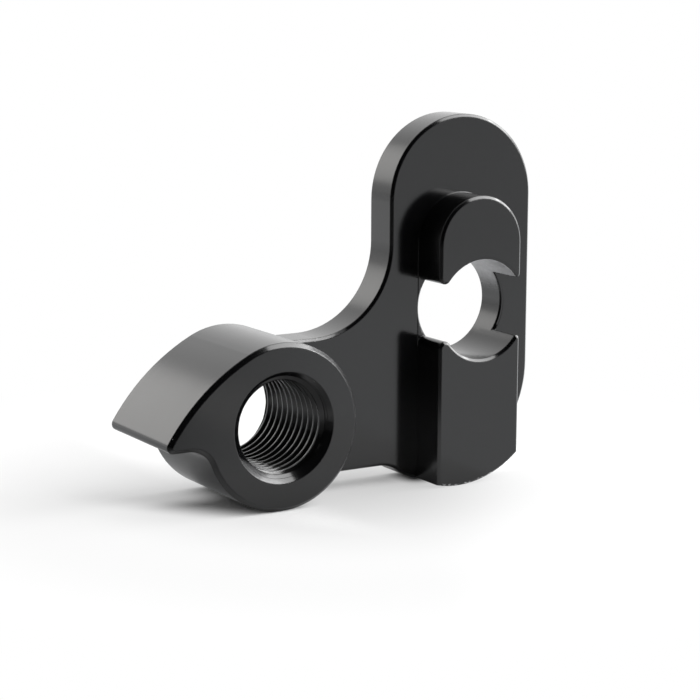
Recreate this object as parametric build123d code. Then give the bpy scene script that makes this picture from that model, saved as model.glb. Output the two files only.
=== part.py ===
from build123d import *
import math
import os

# Derailleur hanger, one machined piece. Millimetres.
# X runs along the plate away from the threaded boss, Y from the front faces to the back, Z up.
# The origin is the centre of the threaded hole at the front face of the boss.

# threaded boss
boss_d = 16.4
boss_length = 12.8
thread_d = 10.0
thread_countersink = 0.425
thread_exit_chamfer = 0.5
boss_edge = 0.4

# nose with its stop face, growing out of the boss
nose_arc_r = 21.5
nose_tangent_deg = 116.2
nose_under_z = -1.27
nose_tip_r = 0.65
notch_r = 2.5

# plate
plate_thickness = 4.0
plate_width = 16.8
plate_edge = 0.25
plate_round_rise = 10.8

# axle hole through the plate
axle_d = 10.0
axle_x = 22.8
axle_z = 9.5
axle_lead_in = 0.6

# arm between plate and boss
arm_top_z = 7.5
arm_bottom_z = -6.2
inner_sweep_r = 8.65
foot_r = 11.0
foot_sweep_r = 3.75
foot_heel_r = 2.0
foot_heel_deg = 20.0

# locating tongue on the front of the plate, split by the axle hole
tongue_height = 4.0
tongue_width = 9.7
tongue_shift = -0.3
tongue_round_rise = 6.55
tongue_left_corner_r = 0.7
tongue_right_corner_r = 0.35

# how far a cutting shape reaches past the face it opens
overrun = 1.0

# derived sizes
boss_r = boss_d / 2
thread_r = thread_d / 2
axle_r = axle_d / 2
half_plate = plate_width / 2
plate_left = axle_x - half_plate
plate_right = axle_x + half_plate
plate_top_z = axle_z + plate_round_rise
plate_front = tongue_height
plate_back = plate_front + plate_thickness
# the foot is round, meets the right side of the plate and stands level with the boss
foot_x = plate_right - foot_r
foot_z = foot_r - boss_r
half_tongue = tongue_width / 2
tongue_x = axle_x + tongue_shift
tongue_left = tongue_x - half_tongue
tongue_right = tongue_x + half_tongue
tongue_top_z = axle_z + tongue_round_rise


def disc(x, z, r):
    return Pos(x, z) * Circle(r)


def slab(profile, y0, y1):
    return extrude(Plane.XZ.offset(-y0) * profile, amount=y0 - y1)


def arc(centre, radius, start, end):
    """Arc round a centre, the short way from one point to the other."""
    mid_x = (start[0] + end[0]) / 2 - centre[0]
    mid_z = (start[1] + end[1]) / 2 - centre[1]
    reach = radius / math.hypot(mid_x, mid_z)
    middle = (centre[0] + mid_x * reach, centre[1] + mid_z * reach)
    return ThreePointArc(start, middle, end)


def tongue_corner(side_x, inward, up, radius):
    """Round corner between a side of the tongue and the hole: centre, end on the side, end on the hole."""
    reach = axle_r + radius
    offset = side_x + inward * radius - axle_x
    rise = up * math.sqrt(reach ** 2 - offset ** 2)
    centre = (axle_x + offset, axle_z + rise)
    on_side = (side_x, axle_z + rise)
    on_hole = (axle_x + offset * axle_r / reach, axle_z + rise * axle_r / reach)
    return centre, on_side, on_hole


def tongue_half(up, far_right, far_left, far_edge):
    """Outline of the tongue from the hole to its far edge, up is 1 above the hole and -1 below it."""
    left_centre, left_side, left_hole = tongue_corner(tongue_left, 1, up, tongue_left_corner_r)
    right_centre, right_side, right_hole = tongue_corner(tongue_right, -1, up, tongue_right_corner_r)
    return make_face(
        arc(left_centre, tongue_left_corner_r, left_side, left_hole)
        + arc((axle_x, axle_z), axle_r, left_hole, right_hole)
        + arc(right_centre, tongue_right_corner_r, right_hole, right_side)
        + Line(right_side, far_right)
        + far_edge
        + Line(far_left, left_side)
    )


# outline of boss and nose, every arc meets the next one without a kink
turn = math.radians(nose_tangent_deg)
nose_start = (boss_r * math.cos(turn), boss_r * math.sin(turn))
sweep_offset = nose_arc_r - boss_r
nose_centre = (-sweep_offset * math.cos(turn), -sweep_offset * math.sin(turn))
tip_z = nose_under_z + nose_tip_r
tip_reach = nose_arc_r - nose_tip_r
tip_x = nose_centre[0] - math.sqrt(tip_reach ** 2 - (tip_z - nose_centre[1]) ** 2)
tip_scale = nose_arc_r / tip_reach
tip_start = (
    nose_centre[0] + (tip_x - nose_centre[0]) * tip_scale,
    nose_centre[1] + (tip_z - nose_centre[1]) * tip_scale,
)
tip_side = (tip_x - nose_tip_r, tip_z)
tip_end = (tip_x, nose_under_z)
notch_z = nose_under_z - notch_r
notch_reach = boss_r + notch_r
notch_x = -math.sqrt(notch_reach ** 2 - notch_z ** 2)
notch_start = (notch_x, nose_under_z)
notch_end = (notch_x * boss_r / notch_reach, notch_z * boss_r / notch_reach)
boss_bottom = (0, -boss_r)
boss_side = (boss_r, 0)
boss_top = (0, boss_r)
outline = (
    arc(nose_centre, nose_arc_r, nose_start, tip_start)
    + arc((tip_x, tip_z), nose_tip_r, tip_start, tip_side)
    + arc((tip_x, tip_z), nose_tip_r, tip_side, tip_end)
    + Line(tip_end, notch_start)
    + arc((notch_x, notch_z), notch_r, notch_start, notch_end)
    + arc((0, 0), boss_r, notch_end, boss_bottom)
    + arc((0, 0), boss_r, boss_bottom, boss_side)
    + arc((0, 0), boss_r, boss_side, boss_top)
    + arc((0, 0), boss_r, boss_top, nose_start)
)
boss = slab(make_face(outline), 0, boss_length)
boss_faces = boss.faces().sort_by(Axis.Y)
boss = chamfer(boss_faces[0].edges() + boss_faces[-1].edges(), boss_edge)

# outline of arm, foot and plate, the sweep under the arm runs over a small heel into the round of the foot
sweep_centre = (plate_left - inner_sweep_r, arm_top_z + inner_sweep_r)
heel_turn = math.radians(foot_heel_deg)
heel_reach = foot_r - foot_heel_r
heel_x = foot_x - heel_reach * math.sin(heel_turn)
heel_z = foot_z - heel_reach * math.cos(heel_turn)
heel_end = (foot_x - foot_r * math.sin(heel_turn), foot_z - foot_r * math.cos(heel_turn))
foot_sweep_z = arm_bottom_z - foot_sweep_r
foot_sweep_x = heel_x - math.sqrt((foot_sweep_r + foot_heel_r) ** 2 - (heel_z - foot_sweep_z) ** 2)
heel_share = foot_sweep_r / (foot_sweep_r + foot_heel_r)
heel_start = (
    foot_sweep_x + (heel_x - foot_sweep_x) * heel_share,
    foot_sweep_z + (heel_z - foot_sweep_z) * heel_share,
)
top_left = (plate_left, plate_top_z)
top_middle = (axle_x, plate_top_z + half_plate)
top_right = (plate_right, plate_top_z)
foot_bottom = (foot_x, foot_z - foot_r)
foot_side = (plate_right, foot_z)
plate_outline = (
    Line((0, arm_bottom_z), (0, arm_top_z))
    + Line((0, arm_top_z), (sweep_centre[0], arm_top_z))
    + arc(sweep_centre, inner_sweep_r, (sweep_centre[0], arm_top_z), (plate_left, sweep_centre[1]))
    + Line((plate_left, sweep_centre[1]), top_left)
    + arc((axle_x, plate_top_z), half_plate, top_left, top_middle)
    + arc((axle_x, plate_top_z), half_plate, top_middle, top_right)
    + Line(top_right, foot_side)
    + arc((foot_x, foot_z), foot_r, foot_side, foot_bottom)
    + arc((foot_x, foot_z), foot_r, foot_bottom, heel_end)
    + arc((heel_x, heel_z), foot_heel_r, heel_end, heel_start)
    + arc((foot_sweep_x, foot_sweep_z), foot_sweep_r, heel_start, (foot_sweep_x, arm_bottom_z))
    + Line((foot_sweep_x, arm_bottom_z), (0, arm_bottom_z))
)
plate_shape = make_face(plate_outline) - disc(axle_x, axle_z, axle_r)
plate = slab(plate_shape, plate_front, plate_back)
plate_faces = plate.faces().sort_by(Axis.Y)
plate = chamfer(plate_faces[0].edges() + plate_faces[-1].outer_wire().edges(), plate_edge)
plate = chamfer(plate.faces().sort_by(Axis.Y)[-1].inner_wires()[0].edges(), axle_lead_in)

# tongue in two halves above and below the axle hole, the lower one ends with the foot
tongue_top_right = (tongue_right, tongue_top_z)
tongue_top_left = (tongue_left, tongue_top_z)
tongue_top = ThreePointArc(tongue_top_right, (tongue_x, tongue_top_z + half_tongue), tongue_top_left)
tongue_low_right = (tongue_right, foot_z - math.sqrt(foot_r ** 2 - (tongue_right - foot_x) ** 2))
tongue_low_left = (tongue_left, foot_z - math.sqrt(foot_r ** 2 - (tongue_left - foot_x) ** 2))
tongue_foot = arc((foot_x, foot_z), foot_r, tongue_low_right, tongue_low_left)
upper_shape = tongue_half(1, tongue_top_right, tongue_top_left, tongue_top)
lower_shape = tongue_half(-1, tongue_low_right, tongue_low_left, tongue_foot)
tongue_halves = []
for half_shape in (upper_shape, lower_shape):
    half = slab(half_shape, 0, plate_front + plate_thickness / 2)
    tongue_halves.append(chamfer(half.faces().sort_by(Axis.Y)[0].edges(), plate_edge))

# threaded hole as one turned cut: countersink in front, thread bore, bevel where the thread runs out
bore_outline = Polyline(
    (0, -overrun),
    (thread_r + thread_countersink + overrun, -overrun),
    (thread_r, thread_countersink),
    (thread_r, boss_length - thread_exit_chamfer),
    (thread_r + thread_exit_chamfer + overrun, boss_length + overrun),
    (0, boss_length + overrun),
    close=True,
)
threaded_bore = revolve(make_face(bore_outline), Axis.Y)

hanger = boss + plate + tongue_halves[0] + tongue_halves[1]
hanger = hanger - threaded_bore
hanger_body = hanger.solids()[0]

os.makedirs("parts", exist_ok=True)
export_step(hanger_body, "parts/hanger_body.step")
print("solids", len(hanger.solids()), "volume", round(hanger_body.volume, 1), hanger_body.bounding_box())
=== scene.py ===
import math

import bpy
import numpy as np
from mathutils import Matrix, Vector


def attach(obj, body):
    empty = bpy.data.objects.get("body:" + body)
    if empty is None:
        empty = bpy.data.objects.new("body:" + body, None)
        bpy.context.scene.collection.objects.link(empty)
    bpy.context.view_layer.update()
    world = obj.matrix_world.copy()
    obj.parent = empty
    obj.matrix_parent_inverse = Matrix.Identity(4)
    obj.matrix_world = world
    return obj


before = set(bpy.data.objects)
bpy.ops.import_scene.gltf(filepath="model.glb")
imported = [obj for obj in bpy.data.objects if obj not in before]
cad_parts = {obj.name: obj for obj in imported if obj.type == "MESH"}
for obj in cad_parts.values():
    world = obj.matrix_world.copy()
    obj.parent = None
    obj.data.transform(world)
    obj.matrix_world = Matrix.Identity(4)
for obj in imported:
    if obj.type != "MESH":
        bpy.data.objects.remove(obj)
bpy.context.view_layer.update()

# Machined derailleur hanger, black anodised. Metres, in the frame of the CAD model:
# X along the plate, Y from the front faces to the back, Z up, origin at the mouth of the threaded hole.

MM = 0.001


def mm(*sizes):
    """Sizes in millimetres, turned into metres."""
    return [size * MM for size in sizes]


# places on the body that the thread, the finish and the stage refer to
centre = mm(10, 6, 6)
hole_mouth = mm(0, 0, 0)
boss_back_y = 12.8 * MM
plate_front_y = 4.0 * MM
axle_x = 22.8 * MM
axle_z = 9.5 * MM
floor_z = -8.2 * MM

# thread in the boss, M10 x 1, right-handed
thread_root_r = 5.0 * MM
thread_crest_r = 4.5 * MM
thread_pitch = 1.0 * MM
thread_crest_width = 0.18 * MM
thread_crest_round = 0.05 * MM
thread_flank = math.radians(30)
thread_bury = 0.06 * MM
first_crest_y = 1.354 * MM
turns_before_first_crest = 1.34
turns_past_exit = 0.46
thread_steps_per_turn = 96
thread_profile_steps = 26
thread_sharp_angle = math.radians(40)

# the countersink's radius and depth always add up to mouth_r, and the exit cone leaves the wall at exit_y
mouth_r = 5.425 * MM
mouth_gap = 0.015 * MM
exit_y = 12.3 * MM
exit_slope = 2.2
face_gap = 0.05 * MM

# black oxide over aluminium, with softly broken edges
oxide_dark = (0.0008, 0.0009, 0.0012)
oxide_light = (0.0022, 0.0022, 0.0024)
oxide_ior = 1.6
bare_metal_wear_and_highlight = (0.60, 0.60, 0.61)
edge_break = 0.16 * MM
thread_break = 0.10 * MM
cloud_scale = 260.0
grain_scale = 9000.0
speck_scale = 2600.0
grain_depth = 0.01 * MM
grain_strength = 0.10

# roughness of the plain oxide, and what clouds, grain, sides and bare metal add to it
plain_roughness = 0.10
cloud_roughness = 0.05
grain_roughness = 0.03
side_roughness = 0.08
bare_roughness = 0.40

# From here on a pair holds the start and the end of a soft step,
# and four numbers hold a band with a soft step at each end.

# how far chamfers in front and sides lean to the back, where a front face has -1
chamfer_lean = (-0.80, -0.75, -0.65, -0.60)
side_lean = (-0.5, -0.2, 0.2, 0.5)

# painted highlights, made as bare metal: lower left of the threaded hole's mouth, right of the boss's rim,
# top of the axle hole, crests of the thread
mouth_highlight_r = mm(6.0, 5.745)
mouth_highlight_low = mm(4.3, 5.0)
rim_highlight_r = mm(7.483, 7.681)
rim_highlight_x = mm(0.5, 3.0, 9.0, 9.5)
rim_highlight_z = mm(-5.5, -2.0)
rim_highlight_strong_x = mm(6.5, 4.0)
axle_highlight_r = mm(5.060, 5.020)
axle_highlight_z = mm(10.0, 13.8)
crest_highlight_r = mm(4.604, 4.539)
crest_run_in_y = mm(7.0, 3.5)
crest_run_in_z = mm(-1.0, 1.5)
mouth_highlight = 0.16
rim_highlight = 0.17
axle_highlight = 0.78
crest_highlight = 0.22

# specks of bare metal on the chamfers, more of them on the chamfer of the tongue's foot
speck_limit = (0.76, 0.80)
foot_z = mm(-6.5, -7.5)
foot_x = mm(17.2, 17.8)
foot_more_specks = 0.18

# inner corners below this height keep their plain normal, so that no light line runs along them
corner_reach = 0.4 * MM
corner_shelter = (0.95, 0.75)
corner_z = mm(7.0, 6.0)
front_normal = (0, -1, 0)

# chamfer of the axle hole, shaded like the front face in its outer half on the right and above the hole
axle_edge_r = mm(5.292, 5.263)
axle_edge_outer_r = mm(5.119, 5.158)
axle_edge_outer_x = mm(24.0, 25.0)
axle_edge_outer_z = mm(6.5, 7.2)
axle_edge_upper_x = mm(26.8, 26.3)
axle_edge_upper_z = mm(11.3, 12.5)

# line that the cutter left in the front of the plate beside the tongue
tool_mark_x = mm(17.58, 17.72, 20.0, 20.1)
tool_mark_y = [plate_front_y + step for step in mm(-0.05, -0.02, 0.2, 0.4)]
tool_mark_z = mm(5.4, 6.4, 12.6, 13.6)
tool_mark_depth = 0.09 * MM

# stage, where a brightness of 1 is white
black = (0, 0, 0)
white = (1, 1, 1)
floor_half = 8.0
lamp_distance = 0.60
# glow of the paper that only the object's gloss sees, painted light
glow_white = (0.97, 0.985, 1)
glow_left_end = (1.19, 1.20, 1.21)
paper_tone = 0.81
# darker paper that only the object's gloss sees, a painted darker reflection
paper_tone_painted_reflection = 0.55
paper_tone_painted_reflection_in_front = 0.24
sky_white = (1.3, 1.3, 1.3)


class Value:
    """A socket in an expression: each operator adds the Math node that works it out."""

    def __init__(self, finish, socket):
        self.finish = finish
        self.socket = socket

    def math(self, operation, *terms):
        return self.finish.add("ShaderNodeMath", {"operation": operation}, dict(enumerate(terms)))

    def __add__(self, other):
        return self.math("ADD", self, other)

    def __radd__(self, other):
        return self.math("ADD", other, self)

    def __sub__(self, other):
        return self.math("SUBTRACT", self, other)

    def __rsub__(self, other):
        return self.math("SUBTRACT", other, self)

    def __mul__(self, other):
        return self.math("MULTIPLY", self, other)

    def __rmul__(self, other):
        return self.math("MULTIPLY", other, self)

    def root(self):
        return self.math("SQRT", self)

    def blend(self, low, high):
        """From low where this is 0 to high where it is 1."""
        return low + (high - low) * self

    def step(self, start, end):
        """0 up to the start and 1 from the end on, with a soft step between them, in either direction."""
        settings = {"interpolation_type": "SMOOTHSTEP"}
        return self.finish.add("ShaderNodeMapRange", settings, {0: self, 1: start, 2: end})

    def band(self, start, full, last_full, end):
        """1 from full to last_full and 0 outside start and end, with a soft step on each side."""
        return self.step(start, full) * self.step(end, last_full)


class Finish:
    """A material, or the sky with world=True. Its method add makes each node, and the others call it."""

    def __init__(self, name, world=False):
        library = bpy.data.worlds if world else bpy.data.materials
        self.material = library.new(name)
        self.material.use_nodes = True
        self.tree = self.material.node_tree
        self.tree.nodes.clear()

    def add(self, kind, settings=None, inputs=None, output=0):
        """Makes a node, sets its settings and then its sockets, and gives one of its outputs."""
        node = self.tree.nodes.new(kind)
        for name, value in (settings or {}).items():
            setattr(node, name, value)
        for name, value in (inputs or {}).items():
            if isinstance(value, Value):
                self.tree.links.new(value.socket, node.inputs[name])
            else:
                node.inputs[name].default_value = value
        return Value(self, node.outputs[output]) if node.outputs else None

    def place(self):
        """Point of the surface in the object's own frame, in metres."""
        return self.add("ShaderNodeTexCoord", output="Object")

    def ray(self, kind):
        """1 for rays of a kind, such as those of the camera, and 0 for all others."""
        return self.add("ShaderNodeLightPath", output=kind)

    def distance(self, place, other):
        """Distance between two points."""
        settings = {"operation": "DISTANCE"}
        return self.add("ShaderNodeVectorMath", settings, {0: place, 1: other}, output="Value")

    def noise(self, place, scale, detail):
        return self.add("ShaderNodeTexNoise", None, {"Vector": place, "Scale": scale, "Detail": detail})

    def mix(self, factor, low, high):
        """Colour between two others, each given as red, green and blue or as a Value."""
        ends = [end if isinstance(end, Value) else (*end, 1) for end in (low, high)]
        sockets = {"Factor": factor, "A": ends[0], "B": ends[1]}
        return self.add("ShaderNodeMix", {"data_type": "RGBA"}, sockets, output=2)

    def mix_directions(self, factor, low, high):
        """Direction between two others."""
        sockets = {"Factor": factor, "A": low, "B": high}
        return self.add("ShaderNodeMix", {"data_type": "VECTOR"}, sockets, output=1)

    def bump(self, height, strength, depth, normal):
        """Direction of the surface with a relief on it, where a height of 1 stands out by depth."""
        sockets = {"Height": height, "Strength": strength, "Distance": depth, "Normal": normal}
        return self.add("ShaderNodeBump", None, sockets)

    def mix_shaders(self, factor, low, high):
        return self.add("ShaderNodeMixShader", None, {0: factor, 1: low, 2: high})

    def split(self, vector):
        """The x, y and z of a vector."""
        return [self.add("ShaderNodeSeparateXYZ", None, {0: vector}, axis) for axis in range(3)]

    def close(self, surface, kind="ShaderNodeOutputMaterial"):
        """Gives the material its surface, as the last step."""
        self.add(kind, None, {"Surface": surface})
        return self.material


class Anodised(Finish):
    """Black anodised aluminium: nearly black under a clear satin oxide layer, with fine grain and softly
    broken edges. It holds what the finishes of body and thread share."""

    def __init__(self, name, break_r):
        super().__init__(name)
        place = self.place()
        self.x, self.y, self.z = self.split(place)
        self.lean = self.split(self.add("ShaderNodeTexCoord", output="Normal"))[1]
        self.chamfer = self.lean.band(*chamfer_lean)
        self.cloud = self.noise(place, cloud_scale, 4.0)
        self.grain = self.noise(place, grain_scale, 3.0)
        self.specks = self.noise(place, speck_scale, 2.0)
        self.patchy = self.specks.blend(0.6, 1.4)
        self.roughness = plain_roughness + cloud_roughness * self.cloud + grain_roughness * self.grain
        self.bore_reach = self.reach(0.0, 0.0)
        # mask of a painted highlight at the lower left of the threaded hole's mouth
        lower_left = -0.5 * self.x - 0.87 * self.z
        self.mouth = self.bore_reach.step(*mouth_highlight_r) * lower_left.step(*mouth_highlight_low)
        self.broken_edges = self.add("ShaderNodeBevel", {"samples": 6}, {"Radius": break_r})

    def reach(self, x, z):
        """Distance from an axis that runs along Y."""
        across = self.x - x
        rise = self.z - z
        return (across * across + rise * rise).root()

    def complete(self, wear_and_highlight, roughness, normal):
        """The complete material. The share of bare metal, from 0 to 1, holds specks of wear and painted
        highlights.
        """
        oxide = self.mix(self.cloud, oxide_dark, oxide_light)
        sockets = {
            "Base Color": self.mix(wear_and_highlight, oxide, bare_metal_wear_and_highlight),
            "Roughness": roughness,
            "Metallic": wear_and_highlight,
            "IOR": oxide_ior,
            "Normal": self.bump(self.grain, grain_strength, grain_depth, normal),
        }
        return self.close(self.add("ShaderNodeBsdfPrincipled", None, sockets))


def body_finish():
    """Anodised body with specks of bare metal on the chamfers in front. Painted highlights, made as bare
    metal, lie along the right of the boss's rim, at the lower left of its hole's mouth and at the top of
    the axle hole, and the cutter left a line beside the tongue."""
    finish = Anodised("black_anodised", edge_break)
    x, y, z = finish.x, finish.y, finish.z
    axle_reach = finish.reach(axle_x, axle_z)

    # inner corners and parts of the axle hole's chamfer aren't softened
    shelter = {"samples": 8, "only_local": True}
    corner = finish.add("ShaderNodeAmbientOcclusion", shelter, {"Distance": corner_reach}, "AO")
    corner = corner.step(*corner_shelter) * z.step(*corner_z)
    plain = finish.add("ShaderNodeNewGeometry", output="Normal")
    normal = finish.mix_directions(corner, finish.broken_edges, plain)
    outer = axle_reach.step(*axle_edge_outer_r) * x.step(*axle_edge_outer_x) * z.step(*axle_edge_outer_z)
    upper = x.step(*axle_edge_upper_x) * z.step(*axle_edge_upper_z)
    unbroken = finish.chamfer * axle_reach.step(*axle_edge_r) * (outer + upper)
    normal = finish.mix_directions(unbroken, normal, front_normal)

    # bare metal: specks of wear on the chamfers, and painted highlights along the right of the boss's rim,
    # at the lower left of its hole's mouth and at the top of the axle hole
    # painted highlight along the right of the boss's rim
    rim = finish.bore_reach.step(*rim_highlight_r) * x.band(*rim_highlight_x) * z.step(*rim_highlight_z)
    rim = rim * x.step(*rim_highlight_strong_x).blend(0.4, 1.0)
    foot = z.step(*foot_z) * x.step(*foot_x)
    specks = (finish.specks + foot_more_specks * foot).step(*speck_limit)
    # painted highlight on the top of the axle hole's wall
    axle_top = axle_reach.step(*axle_highlight_r) * z.step(*axle_highlight_z)
    wear_and_highlight = finish.chamfer * (specks + (rim_highlight * rim + mouth_highlight * finish.mouth) * finish.patchy)
    wear_and_highlight = wear_and_highlight + axle_highlight * axle_top * finish.patchy

    # sides and bare metal are duller
    side = finish.lean.band(*side_lean)
    roughness = finish.roughness + side_roughness * side + bare_roughness * wear_and_highlight

    # line beside the tongue
    mark = x.band(*tool_mark_x) * y.band(*tool_mark_y) * z.band(*tool_mark_z)
    normal = finish.bump(mark, 1.0, tool_mark_depth, normal)
    return finish.complete(wear_and_highlight, roughness, normal)


def thread_finish():
    """Anodised thread with painted highlights, made as bare metal, at the lower left of its mouth and on
    its crests, apart from the crests in its upper front.
    """
    finish = Anodised("black_anodised_thread", thread_break)
    # painted highlights on the crests, left out in the upper front, and at the lower left of the mouth
    crest = finish.bore_reach.step(*crest_highlight_r)
    run_in = finish.z.step(*crest_run_in_z) * finish.y.step(*crest_run_in_y)
    wear_and_highlight = mouth_highlight * finish.mouth * finish.chamfer * finish.patchy + crest_highlight * crest * (1.0 - run_in)
    return finish.complete(wear_and_highlight, finish.roughness, finish.broken_edges)


def paper_painted_glow(finish, x, y, grazing):
    """Painted glow that the object mirrors from the paper: darker where the paper is seen steeply, on the
    left and far in front, lighter behind the object and at the far left end."""
    lit_side = (0.86 * x + 0.5 * y).step(*mm(-35, 10))
    front_end = y.step(*mm(-70, -160))
    behind = y.step(*mm(15, 35)) * x.step(*mm(-10, 15))
    left_end = y.step(*mm(45, 90)) * x.step(*mm(0, -20))
    level = grazing.blend(0.38, 1.0) * lit_side.blend(0.04, 1.0) * front_end.blend(1.0, 0.82)
    lightest = finish.mix(left_end, glow_white, glow_left_end)
    return finish.mix(level + 0.9 * behind + 0.35 * left_end, black, lightest)


def paper_with_painted_shade(finish, x, y, far):
    """Tone of the paper in the picture, with painted shade: it goes from grey near the object to plain
    white in three soft steps away from it, a little lighter on the right and darker behind the boss on the
    left."""
    # painted shade: grey near the object, lighter in each step away from it, darker behind the boss on the
    # left
    near_step = 0.22 * far.step(*mm(12.5, 25))
    middle_step = 0.10 * far.step(*mm(20, 32))
    far_step = 0.06 * far.step(*mm(36, 52))
    right_end = (0.86 * x - 0.5 * y).step(*mm(12, 24))
    left_back = x.step(*mm(2, -6)) * y.step(*mm(6, 14)) * far.step(*mm(44, 26))
    level = 0.63 + near_step + middle_step + far_step + 0.09 * right_end - 0.14 * left_back
    return finish.mix(level, black, white)


def kept_shadow(x, y, far):
    """Share of the shadow that stays in the picture: all of it under the boss and the foot, part of it
    between and behind them, little in front of them and none far away."""
    under_left = (x + 0.8 * y).step(*mm(-7.5, 0)) * x.step(*mm(6, -1))
    under_back = y.step(*mm(3, 7)) * x.step(*mm(-2, 4))
    under_foot = x.step(*mm(15.5, 18)) * y.step(*mm(2, 5))
    left_soft = x.step(*mm(-1, -6)) * y.step(*mm(6, 10))
    kept = 1.0 - under_back.blend(0.85, 0.40) * (1.0 - under_left) * (1.0 - under_foot)
    return kept * left_soft.blend(1.0, 0.55) * far.step(*mm(60, 18))


def floor_finish():
    """White paper that keeps part of the shadow near the object, with painted shade around it, and goes to
    plain white away from it. The object's gloss mirrors a painted glow and darker painted tones of its own
    from it, and real shade close to the boss and beneath the plate."""
    finish = Finish("floor_paper")
    place = finish.place()
    x, y, _ = finish.split(place)
    far = finish.distance(place, centre)
    boss_far = finish.distance(place, hole_mouth)
    camera = finish.ray("Is Camera Ray")
    glossy = finish.ray("Is Glossy Ray")
    grazing = finish.add("ShaderNodeLayerWeight", None, {"Blend": 0.5}, output="Facing").step(0.35, 0.75)

    # painted tones that don't depend on the lamps: painted shade to the eye, and a painted glow for the
    # object's gloss
    tone = finish.mix(camera, paper_painted_glow(finish, x, y, grazing), paper_with_painted_shade(finish, x, y, far))
    plain = finish.add("ShaderNodeEmission", None, {"Color": tone, "Strength": 1.0})
    beneath = x.band(*mm(11, 14, 24, 27)) * y.step(*mm(14, 10))
    open_gloss = boss_far.step(*mm(12, 28)).blend(0.2, 0.9) * beneath.blend(1.0, 0.15)
    fade = camera * (1.0 - kept_shadow(x, y, far)) + glossy * open_gloss

    # paper that takes light and shadow, with darker copies that only the object's gloss sees, a painted
    # darker reflection, darkest where the paper in front is seen steeply
    papers = []
    for level in (paper_tone, paper_tone_painted_reflection, paper_tone_painted_reflection_in_front):
        papers.append(finish.add("ShaderNodeBsdfDiffuse", None, {"Color": (level, level, level, 1)}))
    in_front = (1.0 - grazing) * y.step(*mm(0, -4)) * boss_far.step(*mm(30, 18))
    mirrored = finish.mix_shaders(in_front, papers[1], papers[2])
    paper = finish.mix_shaders(glossy, papers[0], mirrored)
    return finish.close(finish.mix_shaders(fade, paper, plain))


def studio_sky():
    """White cloth behind and to the right of the object, and a dark room in front of it on the left. All of
    it is white to the eye."""
    finish = Finish("studio", world=True)
    direction = finish.add("ShaderNodeTexCoord", output="Generated")
    x, y, _ = finish.split(direction)
    cloth = (y + 0.6 * x).step(-0.35, 0.2)
    right = x.step(-0.2, 0.3)
    level = 0.012 + right.blend(0.788, 0.988) * cloth
    tone = finish.mix(finish.ray("Is Camera Ray"), finish.mix(level, black, sky_white), white)
    light = finish.add("ShaderNodeBackground", None, {"Color": tone, "Strength": 1.0})
    return finish.close(light, "ShaderNodeOutputWorld")


def new_piece(name, points, faces, material):
    """Object at the origin, with its place in its mesh."""
    mesh = bpy.data.meshes.new(name)
    mesh.from_pydata(points, [], faces)
    mesh.materials.append(material)
    piece = bpy.data.objects.new(name, mesh)
    bpy.context.scene.collection.objects.link(piece)
    return piece


def closed_tube(name, points, material):
    """Tube from a grid of points, with closed ends. The first index runs along the path, the second round
    the profile."""
    count, round_count = points.shape[:2]
    index = np.arange(count * round_count).reshape(count, round_count)
    ahead = np.roll(index, -1, axis=1)
    quads = np.stack([index[:-1], index[1:], ahead[1:], ahead[:-1]], axis=-1).reshape(-1, 4)
    faces = [*quads.tolist(), index[0].tolist(), index[-1, ::-1].tolist()]
    tube = new_piece(name, points.reshape(-1, 3), faces, material)
    tube.data.shade_smooth()
    tube.data.set_sharp_from_angle(angle=thread_sharp_angle)
    return tube


def thread_ridge(name, material):
    """Ridge of the internal thread. Along the helix the centre goes back by one pitch each turn clockwise:
    y = first crest + pitch * turns, x = r cos(angle), z = -r sin(angle). The profile is a 60 degree ridge
    with a rounded crest. Its radius is kept outside the cone of the countersink, r = mouth radius - y, and
    outside the flatter cone at the exit, so the ridge runs out in both."""
    first_turn = -turns_before_first_crest
    last_turn = (exit_y - first_crest_y) / thread_pitch + turns_past_exit
    steps = round((last_turn - first_turn) * thread_steps_per_turn)
    turns = np.linspace(first_turn, last_turn, steps)[:, None]

    # corners of the profile, from the front flank over the crest to the back flank
    crest_half = thread_crest_width / 2
    base_r = thread_root_r + thread_bury
    base_half = crest_half + (base_r - thread_crest_r) * math.tan(thread_flank)
    shoulder_half = crest_half + thread_crest_round * math.tan(thread_flank)
    shoulder_r = thread_crest_r + thread_crest_round
    flat_half = crest_half - thread_crest_round / 2
    corner_y = np.array([-base_half, -shoulder_half, -flat_half, flat_half, shoulder_half, base_half])
    corner_r = np.array([base_r, shoulder_r, thread_crest_r, thread_crest_r, shoulder_r, base_r])
    profile_y = np.union1d(np.linspace(-base_half, base_half, thread_profile_steps), corner_y)
    profile_r = np.interp(profile_y, corner_y, corner_r)

    y = first_crest_y + thread_pitch * turns + profile_y
    y = np.clip(y, face_gap, boss_back_y - face_gap)
    r = np.maximum(profile_r, mouth_r - y + mouth_gap)
    r = np.maximum(r, thread_root_r + (y - exit_y) * exit_slope)
    angle = 2 * np.pi * turns
    points = np.stack([r * np.cos(angle), y, -r * np.sin(angle)], axis=-1)
    return closed_tube(name, points, material)


def stage_plane(name, half, z, material):
    """Level square at height z, whose sides are twice half long."""
    corners = [(-half, -half, z), (half, -half, z), (half, half, z), (-half, half, z)]
    plane = new_piece(name, corners, [(0, 1, 2, 3)], material)


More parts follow.
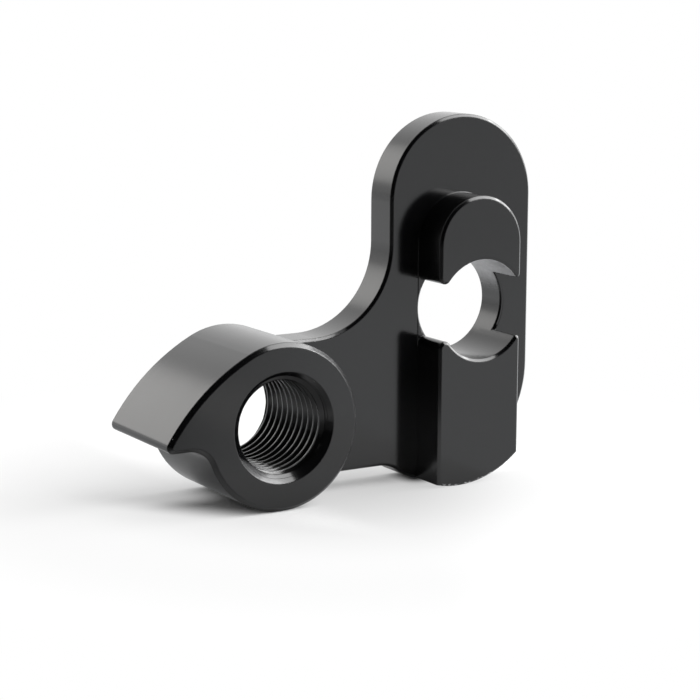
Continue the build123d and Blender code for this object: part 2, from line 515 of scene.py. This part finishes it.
def stand(thing, place, right, up, back):
    """Puts a lamp or a camera in its place. It looks away from back, with its own x to the right."""
    turn = Matrix((right, up, back)).transposed().to_4x4()
    thing.matrix_world = Matrix.Translation(place) @ turn
    bpy.context.scene.collection.objects.link(thing)


def soft_box(name, direction, across, width, height, level, tint=white):
    """Rectangular lamp facing the object. Its width runs along across, and level is its brightness."""
    lamp = bpy.data.lights.new(name, "AREA")
    lamp.shape = "RECTANGLE"
    lamp.size = width
    lamp.size_y = height
    lamp.energy = level * math.pi * width * height
    lamp.color = tint
    box = bpy.data.objects.new(name, lamp)
    box.visible_camera = False
    back = Vector(direction).normalized()
    up = back.cross(Vector(across)).normalized()
    stand(box, Vector(centre) + back * lamp_distance, up.cross(back), up, back)


# the anodised body keeps its CAD shape and gets the full finish
worn_black = body_finish()
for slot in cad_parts["hanger_body"].material_slots:
    slot.material = worn_black

thread = thread_ridge("thread_ridge", thread_finish())
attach(thread, "root")

# stage, lamps and sky
stage_plane("floor", floor_half, floor_z, floor_finish())
soft_box("right_top_box", (0.67, -0.28, 0.69), (0.70, 0.49, -0.48), 0.62, 0.40, 4.9)
soft_box("front_right_box", (0.68, -0.60, 0.43), (0.65, 0.76, 0), 0.38, 0.38, 4.8)
soft_box("right_side_box", (0.94, 0.03, 0.31), (-0.03, 1, 0), 0.36, 0.34, 4.0)
soft_box("left_back_box", (-0.355, 0.865, 0.36), (1, 0, 0), 0.30, 0.22, 1.7, (1, 0.985, 0.96))
bpy.context.scene.world = studio_sky()

# camera at the photograph's angle
lens = bpy.data.cameras.new("camera")
lens.sensor_width = 36
lens.lens = 107.9
lens.shift_x = 0.0695
lens.shift_y = -0.0104
lens.clip_start = 0.01
lens.clip_end = 30
camera = bpy.data.objects.new("camera", lens)
camera_place = Vector(mm(-96.49, -169.18, 43.66))
look = Vector((0.49434, 0.85066, -0.17889)).normalized()
right = look.cross(Vector((0, 0, 1))).normalized()
stand(camera, camera_place, right, right.cross(look), -look)
bpy.context.scene.camera = camera
bpy.context.scene.view_settings.view_transform = "Standard"
